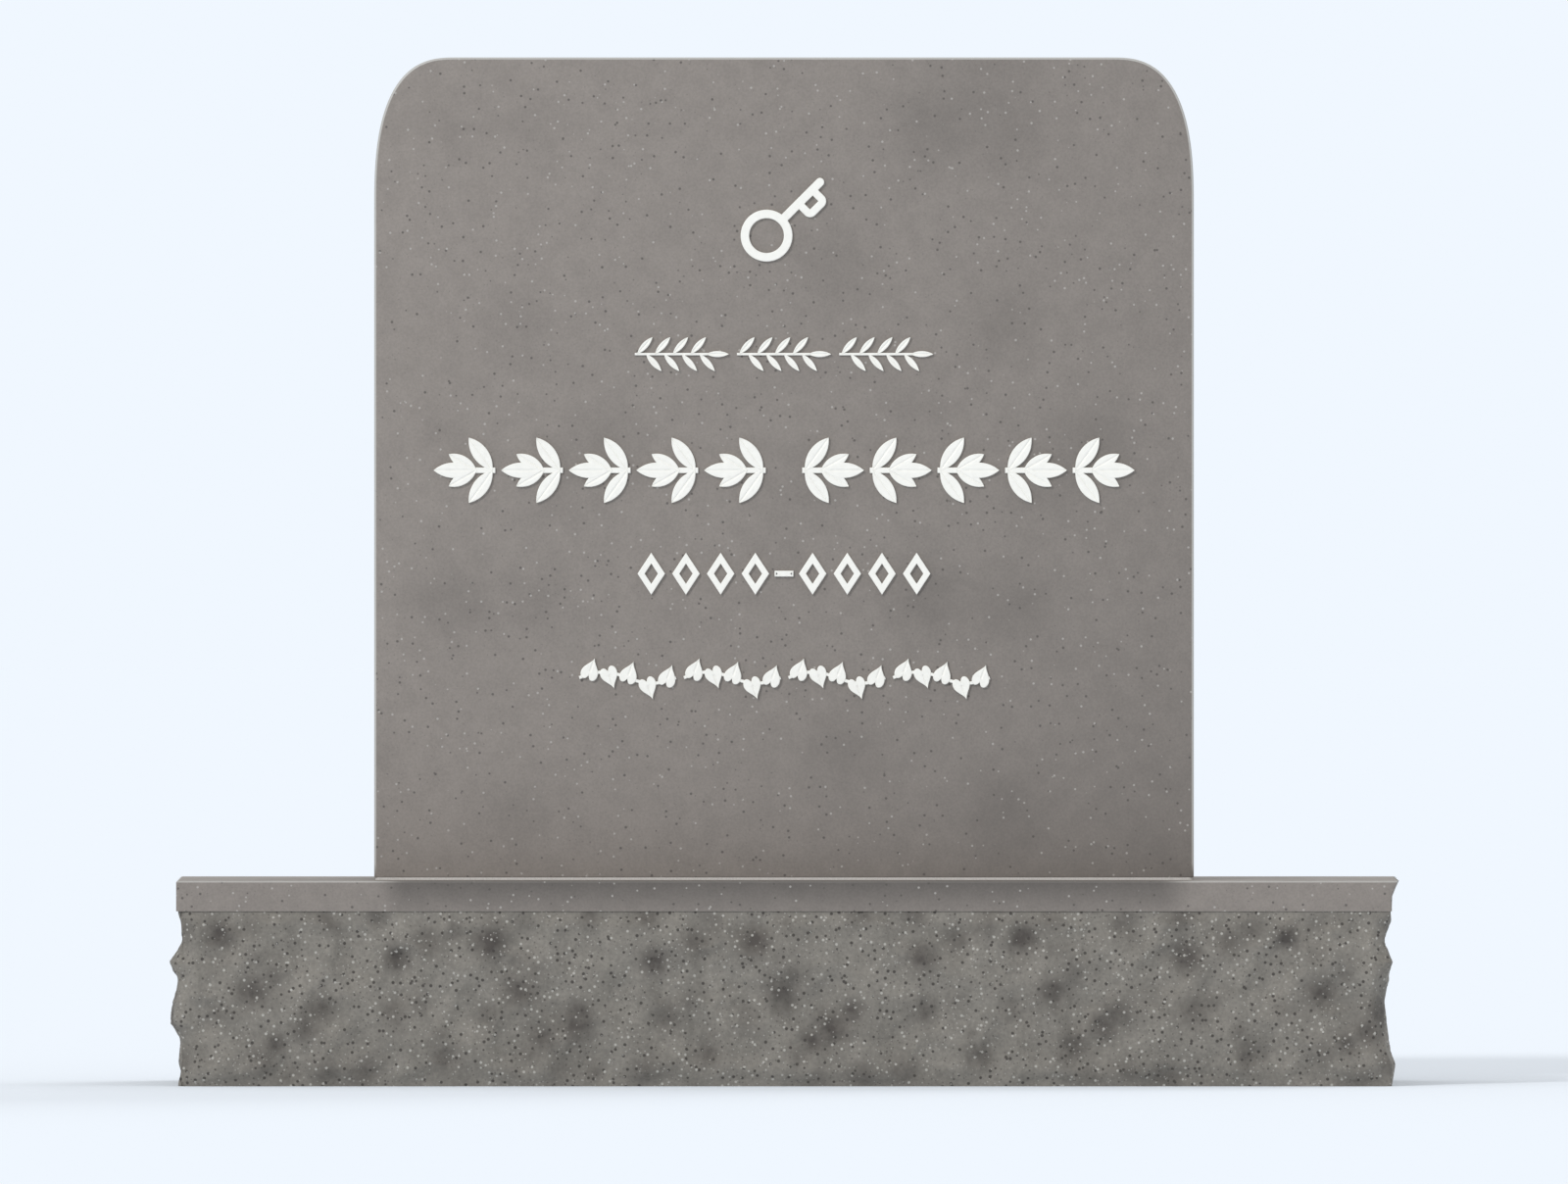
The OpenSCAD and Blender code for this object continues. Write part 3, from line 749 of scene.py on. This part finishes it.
def united(name, shells):
    """One closed mesh from shells that run into each other."""
    objects = [bpy.data.objects.new("shell", mesh) for mesh in shells]
    for shell in objects:
        bpy.context.scene.collection.objects.link(shell)
    for other in objects[1:]:
        cut = objects[0].modifiers.new("union", "BOOLEAN")
        cut.operation, cut.solver, cut.object = "UNION", "MANIFOLD", other
    graph = bpy.context.evaluated_depsgraph_get()
    mesh = bpy.data.meshes.new_from_object(objects[0].evaluated_get(graph))
    if not len(mesh.polygons):
        raise RuntimeError(f"{name}: the shells didn't unite")
    for shell in objects:
        bpy.data.objects.remove(shell)
    mesh.name = name
    mesh.materials.clear()
    mesh.polygons.foreach_set("material_index", np.zeros(len(mesh.polygons), np.int32))
    # A cut may leave a fin, two faces back to back: its tip is the only point with less than three faces.
    work = bmesh.new()
    work.from_mesh(mesh)
    bmesh.ops.triangulate(work, faces=work.faces)
    bmesh.ops.delete(work, geom=[v for v in work.verts if len(v.link_faces) < 3], context="VERTS")
    work.to_mesh(mesh)
    work.free()
    return mesh


def on_face(name, mesh, x, z, mirror=False):
    """A copy of a flat-lying mesh, set upright on the tablet's front at x and z."""
    copy = mesh.copy()
    copy.name = name
    points = mesh_points(copy)
    side = -1 if mirror else 1
    placed = np.column_stack([x + side * points[:, 0], FACE_Y - points[:, 2], z + points[:, 1]])
    copy.vertices.foreach_set("co", placed.astype(np.float32).ravel())
    if mirror:
        copy.flip_normals()
    copy.update()
    return shade(copy, RAISED_CREASE)


def leaf_lines(l, w, steps=20):
    """A pointed leaf from the origin along x, between two equal arcs, and the line along its middle."""
    r = (l * l + w * w) / (4 * w)
    t = (1 - np.cos(np.linspace(0, np.pi, steps + 1))) / 2
    x = l * t
    y = np.sqrt(np.maximum(r * r - (x - l / 2) ** 2, 0)) - (r - w / 2)
    y[0] = y[-1] = 0
    lower = np.column_stack([x, -y])
    upper = np.column_stack([x, y])[1:-1][::-1]
    outline = np.concatenate([lower, upper])
    return outline, outline * np.array([1, 0])


def bar_lines(path, width):
    """A bar of that width along a path, square at both ends, and the path itself as its inner line."""
    path = np.asarray(path, float)
    run = np.gradient(path, axis=0)
    run /= np.linalg.norm(run, axis=1)[:, None]
    out = np.column_stack([run[:, 1], -run[:, 0]]) * width / 2
    spine = path.copy()
    spine[0] += run[0] * width / 2
    spine[-1] -= run[-1] * width / 2
    outline = np.concatenate([path + out, (path - out)[::-1]])
    return outline, np.concatenate([spine, spine[::-1]])


def leaf(lines, turn, place, height):
    """A ribbed leaf on its outline and inner line, turned and moved, with its height as a share of the
    relief."""
    return relief_shell(*(turned(line, turn, place) for line in lines), height * RELIEF, rib=True)


def heart_lines(l, w, steps=48):
    """An ivy leaf that hangs from its notch at the origin: a sine cubed across, and a sum of cosines that
    puts the notch at 0 and the tip at -l. Its inner line is its middle from below the notch to the tip."""
    t = np.arange(steps) / steps * 2 * np.pi
    x = w / 2 * np.sin(t) ** 3
    y = l / 22 * (13 * np.cos(t) - 5 * np.cos(2 * t) - 2 * np.cos(3 * t) - np.cos(4 * t) - 5)
    outline = np.column_stack([x, y])[::-1]
    inner = np.column_stack([0 * x, np.clip(y, -0.96 * l, -0.2 * l)])[::-1]
    return outline, inner


def ring_lines(outer, inner, steps=72):
    """Two circles about the origin."""
    t = np.arange(steps) / steps * 2 * np.pi
    circle = np.column_stack([np.cos(t), np.sin(t)])
    return circle * outer, circle * inner


def polygon_lines(corners, per_side):
    """A polygon with evenly spaced points on each side."""
    corners = np.asarray(corners, float)
    t = (np.arange(per_side) / per_side)[None, :, None]
    following = np.roll(corners, -1, 0)
    return (corners[:, None] * (1 - t) + following[:, None] * t).reshape(-1, 2)


def node_middle(node):
    """The middle of a node's box, across and up."""
    low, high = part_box(node)
    return (low[0] + high[0]) / 2, (low[2] + high[2]) / 2


def key_mesh():
    """A ring for the bow, a round-ended shank and a pierced bit with two round corners, laid along x and
    then turned up to the right."""
    bow, bar, l = 16.1 * MM, 6.4 * MM, 59.4 * MM
    bit_l, bit_h, back, border, corner = 20.2 * MM, 14.9 * MM, 8.3 * MM, 5.8 * MM, 5.5 * MM
    end = l - bar / 2
    t = np.linspace(-np.pi / 2, np.pi / 2, 17)
    cap = np.column_stack([end + bar / 2 * np.cos(t), bar / 2 * np.sin(t)])
    shank = np.concatenate([[[bow, -bar / 2]], cap, [[bow, bar / 2]]])
    spine = np.column_stack([np.clip(shank[:, 0], bow + bar / 2, end), 0 * shank[:, 0]])
    # The bit's outline is a rectangle pulled in to round corners, matched to its square hole.
    hole = polygon_lines([(border, -bar / 2), (border, border - bit_h), (bit_l - border, border - bit_h),
                          (bit_l - border, -bar / 2)], 14)
    box = polygon_lines([(0, 0), (0, -bit_h), (bit_l, -bit_h), (bit_l, 0)], 14)
    core = np.column_stack([np.clip(box[:, 0], corner, bit_l - corner),
                            np.maximum(box[:, 1], corner - bit_h)])
    away = box - core
    reach = np.maximum(np.linalg.norm(away, axis=1), 1e-9)[:, None]
    in_corner = (np.abs(away) > 1e-9).all(axis=1)[:, None]
    box = np.where(in_corner, core + away / reach * corner, box)
    start = [l - back - bit_l, 0]
    # The three tops lie a hair apart, so that no two surfaces are in one plane.
    mesh = united("key", [relief_shell(*ring_lines(bow + bar / 2, bow - bar / 2), RELIEF, pierced=True),
                          relief_shell(shank, spine, RELIEF - 0.02 * MM),
                          relief_shell(box + start, hole + start, RELIEF - 0.04 * MM, pierced=True)])
    points = mesh_points(mesh)
    points[:, :2] = turned(points[:, :2] + np.array([(bow + bar / 2 - l) / 2, 0]), 45)
    mesh.vertices.foreach_set("co", points.ravel())
    return mesh


def sprig_mesh():
    """A slim sprig: a straight stem, four leaves left and right by turns, and one leaf at the tip."""
    l, leaf_l, leaf_w, stem, pairs, lean = 70 * MM, 17 * MM, 4.6 * MM, 1.8 * MM, 4, 48
    step = (l - leaf_l) / pairs
    lines = leaf_lines(leaf_l, leaf_w)
    path = np.column_stack([np.linspace(0, l - leaf_l / 2, 12), np.zeros(12)])
    shells = [relief_shell(*bar_lines(path, stem), 0.82 * RELIEF)]
    for i in range(pairs):
        shells.append(leaf(lines, lean, (i * step + stem, 0), 0.97))
        shells.append(leaf(lines, -lean, ((i + 0.5) * step + stem, 0), 0.94))
    return united("sprig", [*shells, leaf(lines, 0, (l - leaf_l, 0), 1)])


def laurel_mesh():
    """A bold spray of five leaves on a short stem: one at the tip, two low and wide, two high and small."""
    low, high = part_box("laurel_6")
    l = high[0] - low[0]
    leaf_l, leaf_w, stem = 30 * MM, 11.5 * MM, 4.2 * MM
    lines = leaf_lines(leaf_l, leaf_w, 26)
    path = np.column_stack([np.linspace(0, l - leaf_l / 2, 12), np.zeros(12)])
    shells = [relief_shell(*bar_lines(path, stem), 0.8 * RELIEF)]
    for turn in (-1, 1):
        for angle, scale, at, height in ((54, 1.0, stem / 2, 0.92), (30, 0.8, l - leaf_l - stem / 2, 0.96)):
            scaled = [line * scale for line in lines]
            shells.append(leaf(scaled, turn * angle, (at, 0), height - 0.01 * (turn > 0)))
    return united("laurel", [*shells, leaf(lines, 0, (l - leaf_l, 0), 1)])


def lozenge_mesh():
    """A pierced lozenge: two alike diamonds, and the border between them."""
    low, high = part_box("lozenge_1")
    w, h, border = high[0] - low[0], high[2] - low[2], 5.4 * MM
    outer = polygon_lines([(w / 2, 0), (0, h / 2), (-w / 2, 0), (0, -h / 2)], 10)
    return relief_shell(outer, outer * (1 - 2 * border / w), RELIEF, pierced=True)


def bar_mesh():
    """The short level bar between the lozenges."""
    low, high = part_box("centre_bar")
    half = (high[0] - low[0]) / 2
    path = np.column_stack([np.linspace(-half, half, 14), np.zeros(14)])
    return relief_shell(*bar_lines(path, high[2] - low[2]), RELIEF)


def ivy_mesh():
    """A trail of ivy: a stem in one full sine wave, with hearts above and below it by turns."""
    l, leaf_l, leaf_w, stem, swing, leaves = 72 * MM, 13 * MM, 13 * MM, 2.4 * MM, 4.2 * MM, 5
    t = np.linspace(0, 1, 49)
    path = np.column_stack([l * t, swing * np.sin(2 * np.pi * t)])
    shells = [relief_shell(*bar_lines(path, stem), 0.84 * RELIEF)]
    lines = heart_lines(leaf_l, leaf_w)
    for k in range(leaves):
        at = (k + 0.5) / leaves
        turn, height = ((160, 1.0), (20, 0.96))[k % 2]
        shells.append(leaf(lines, turn, (l * at, swing * math.sin(2 * math.pi * at)), height))
    return united("ivy", shells)


# ---- Operators ----

class HEADSTONE_OT_base(bpy.types.Operator):
    """Builds the rock-pitched base with its polished margin"""
    bl_idname = "headstone.base"
    bl_label = "Base"

    def execute(self, context):
        add_piece("stone_base", base_mesh(), [rock_pitched_granite(), polished_granite()],
                  ["base"])
        return {"FINISHED"}


class HEADSTONE_OT_bed(bpy.types.Operator):
    """Builds the line of setting compound between the base and the tablet"""
    bl_idname = "headstone.bed"
    bl_label = "Setting bed"

    def execute(self, context):
        add_piece("compound", bed_mesh(), [setting_compound()], ["setting_bed"])
        return {"FINISHED"}


class HEADSTONE_OT_tablet(bpy.types.Operator):
    """Builds the polished tablet"""
    bl_idname = "headstone.tablet"
    bl_label = "Tablet"

    def execute(self, context):
        add_piece("stone_tablet", tablet_mesh(), [polished_granite()], ["tablet"])
        return {"FINISHED"}


def add_raised(node, mesh, x, z, mirror=False):
    """Puts raised work on the tablet in place of its node."""
    add_piece(f"raised_{node}", on_face(f"raised_{node}", mesh, x, z, mirror), [raised_enamel()],
              [node])


class HEADSTONE_OT_key(bpy.types.Operator):
    """Builds the raised key"""
    bl_idname = "headstone.key"
    bl_label = "Key"

    def execute(self, context):
        mesh = key_mesh()
        points = mesh_points(mesh)
        middle = (points.min(0) + points.max(0)) / 2
        x, z = node_middle("key")
        add_raised("key", mesh, x - middle[0], z - middle[1])
        return {"FINISHED"}


class HEADSTONE_OT_sprigs(bpy.types.Operator):
    """Builds the row of slim sprigs"""
    bl_idname = "headstone.sprigs"
    bl_label = "Sprigs"

    def execute(self, context):
        mesh = sprig_mesh()
        top = float(mesh_points(mesh)[:, 1].max())
        for side in ("left", "middle", "right"):
            low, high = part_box(f"sprig_{side}")
            add_raised(f"sprig_{side}", mesh, low[0], high[2] - top)
        return {"FINISHED"}


class HEADSTONE_OT_laurel(bpy.types.Operator):
    """Builds the bold row of laurel"""
    bl_idname = "headstone.laurel"
    bl_label = "Laurel"

    def execute(self, context):
        mesh = laurel_mesh()
        for i in range(1, 11):
            low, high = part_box(f"laurel_{i}")
            left = i <= 5
            add_raised(f"laurel_{i}", mesh, high[0] if left else low[0], (low[2] + high[2]) / 2, left)
        return {"FINISHED"}


class HEADSTONE_OT_lozenges(bpy.types.Operator):
    """Builds the pierced lozenges and the bar in their middle"""
    bl_idname = "headstone.lozenges"
    bl_label = "Lozenges"

    def execute(self, context):
        mesh = lozenge_mesh()
        for i in range(1, 9):
            add_raised(f"lozenge_{i}", mesh, *node_middle(f"lozenge_{i}"))
        add_raised("centre_bar", bar_mesh(), *node_middle("centre_bar"))
        return {"FINISHED"}


class HEADSTONE_OT_ivy(bpy.types.Operator):
    """Builds the row of ivy"""
    bl_idname = "headstone.ivy"
    bl_label = "Ivy"

    def execute(self, context):
        mesh = ivy_mesh()
        points = mesh_points(mesh)
        left, top = float(points[:, 0].min()), float(points[:, 1].max())
        for i in range(1, 5):
            low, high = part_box(f"ivy_{i}")
            add_raised(f"ivy_{i}", mesh, low[0] - left, high[2] - top)
        return {"FINISHED"}


class HEADSTONE_OT_stage(bpy.types.Operator):
    """Sets the pale floor, the soft light and the camera"""
    bl_idname = "headstone.stage"
    bl_label = "Stage"

    def execute(self, context):
        set_floor()
        set_light()
        set_camera()
        return {"FINISHED"}


# ---- Stage ----

def set_floor():
    """A wide pale disc on which the stone stands."""
    t = np.arange(96) / 96 * 2 * np.pi
    circle = np.column_stack([np.cos(t), np.sin(t), 0 * t])
    rings = np.array([circle * r - (0, 0, 0.1 * MM) for r in (40.0, 6.0, 2.0, 1.0, 0.0)])
    mesh = grid_mesh("floor", rings)
    if mesh.polygons[0].normal.z < 0:
        mesh.flip_normals()
    # Matt studio paper in the backdrop's colour. The lamps add up to full light on the level, so that floor
    # and backdrop join with no line while the stone's shadow stays.
    material, tree, out, _ = new_material("studio_floor")
    paper = add_node(tree, "ShaderNodeBsdfDiffuse", {"Color": settings().colours.backdrop[:]})
    tree.links.new(paper.outputs["BSDF"], out.inputs["Surface"])
    floor = bpy.data.objects.new("floor", mesh)
    mesh.materials.append(material)
    bpy.context.scene.collection.objects.link(floor)


def set_light():
    """An even pale world, a soft key lamp at the upper left in front, a weaker one behind at the right, and
    a wide one overhead."""
    stage, colours = settings().stage, settings().colours
    world = bpy.data.worlds.new("studio")
    bpy.context.scene.world = world
    world.use_nodes = True
    tree = world.node_tree
    tree.nodes.clear()
    out = add_node(tree, "ShaderNodeOutputWorld")
    even = add_node(tree, "ShaderNodeBackground", {"Color": (1.0, 1.0, 1.0, 1.0), "Strength": stage.fill})
    seen = add_node(tree, "ShaderNodeBackground", {"Color": colours.backdrop[:], "Strength": 1.0})
    ray = add_node(tree, "ShaderNodeLightPath")
    mixed = add_node(tree, "ShaderNodeMixShader", {0: ray.outputs["Is Camera Ray"],
                                                   1: even.outputs[0], 2: seen.outputs[0]})
    tree.links.new(mixed.outputs[0], out.inputs["Surface"])
    for name, towards, strength, angle in (("key", (0.46, 0.78, -0.46), stage.key, 9),
                                           ("behind", (-0.5, -0.75, -0.45), 0.5 * stage.key, 30),
                                           ("above", (0, 0, -1), stage.above, 60)):
        lamp = bpy.data.lights.new(name, "SUN")
        lamp.energy, lamp.angle = strength, math.radians(angle)
        thing = bpy.data.objects.new(name, lamp)
        thing.rotation_euler = Vector(towards).to_track_quat("-Z", "Y").to_euler()
        bpy.context.scene.collection.objects.link(thing)


def set_camera():
    """A long lens nearly level with the middle of the stone."""
    stage = settings().stage
    camera = bpy.data.cameras.new("camera")
    camera.sensor_width = 36
    camera.clip_end = 4 * stage.distance
    camera.lens = camera.sensor_width * stage.distance / stage.frame_w
    thing = bpy.data.objects.new("camera", camera)
    bpy.context.scene.collection.objects.link(thing)
    a = stage.elevation
    thing.location = (0, -stage.distance * math.cos(a), stage.middle_z + stage.distance * math.sin(a))
    thing.rotation_euler = (math.pi / 2 - a, 0, 0)
    bpy.context.scene.camera = thing
    bpy.context.scene.view_settings.view_transform = "Standard"


# ---- Panel and running ----

OPERATORS = (HEADSTONE_OT_base, HEADSTONE_OT_bed, HEADSTONE_OT_tablet, HEADSTONE_OT_key,
             HEADSTONE_OT_sprigs, HEADSTONE_OT_laurel, HEADSTONE_OT_lozenges, HEADSTONE_OT_ivy,
             HEADSTONE_OT_stage)


class HEADSTONE_PT_panel(bpy.types.Panel):
    """Sizes, colours and builders of the headstone"""
    bl_idname = "HEADSTONE_PT_panel"
    bl_label = "Headstone"
    bl_space_type = "VIEW_3D"
    bl_region_type = "UI"
    bl_category = "Headstone"

    def draw(self, context):
        for name, group in GROUPS.items():
            box = self.layout.box()
            box.label(text=name.capitalize())
            for key in group.__annotations__:
                box.prop(getattr(context.scene.headstone, name), key)
        for operator in OPERATORS:
            self.layout.operator(operator.bl_idname)


CLASSES = (*GROUPS.values(), HeadstoneSettings, *OPERATORS, HEADSTONE_PT_panel)


def register():
    for cls in CLASSES:
        bpy.utils.register_class(cls)
    bpy.types.Scene.headstone = PointerProperty(type=HeadstoneSettings)


def unregister():
    del bpy.types.Scene.headstone
    for cls in reversed(CLASSES):
        bpy.utils.unregister_class(cls)


def main():
    register()
    for operator in OPERATORS:
        group, name = operator.bl_idname.split(".")
        getattr(getattr(bpy.ops, group), name)()


if __name__ == "__main__":
    main()
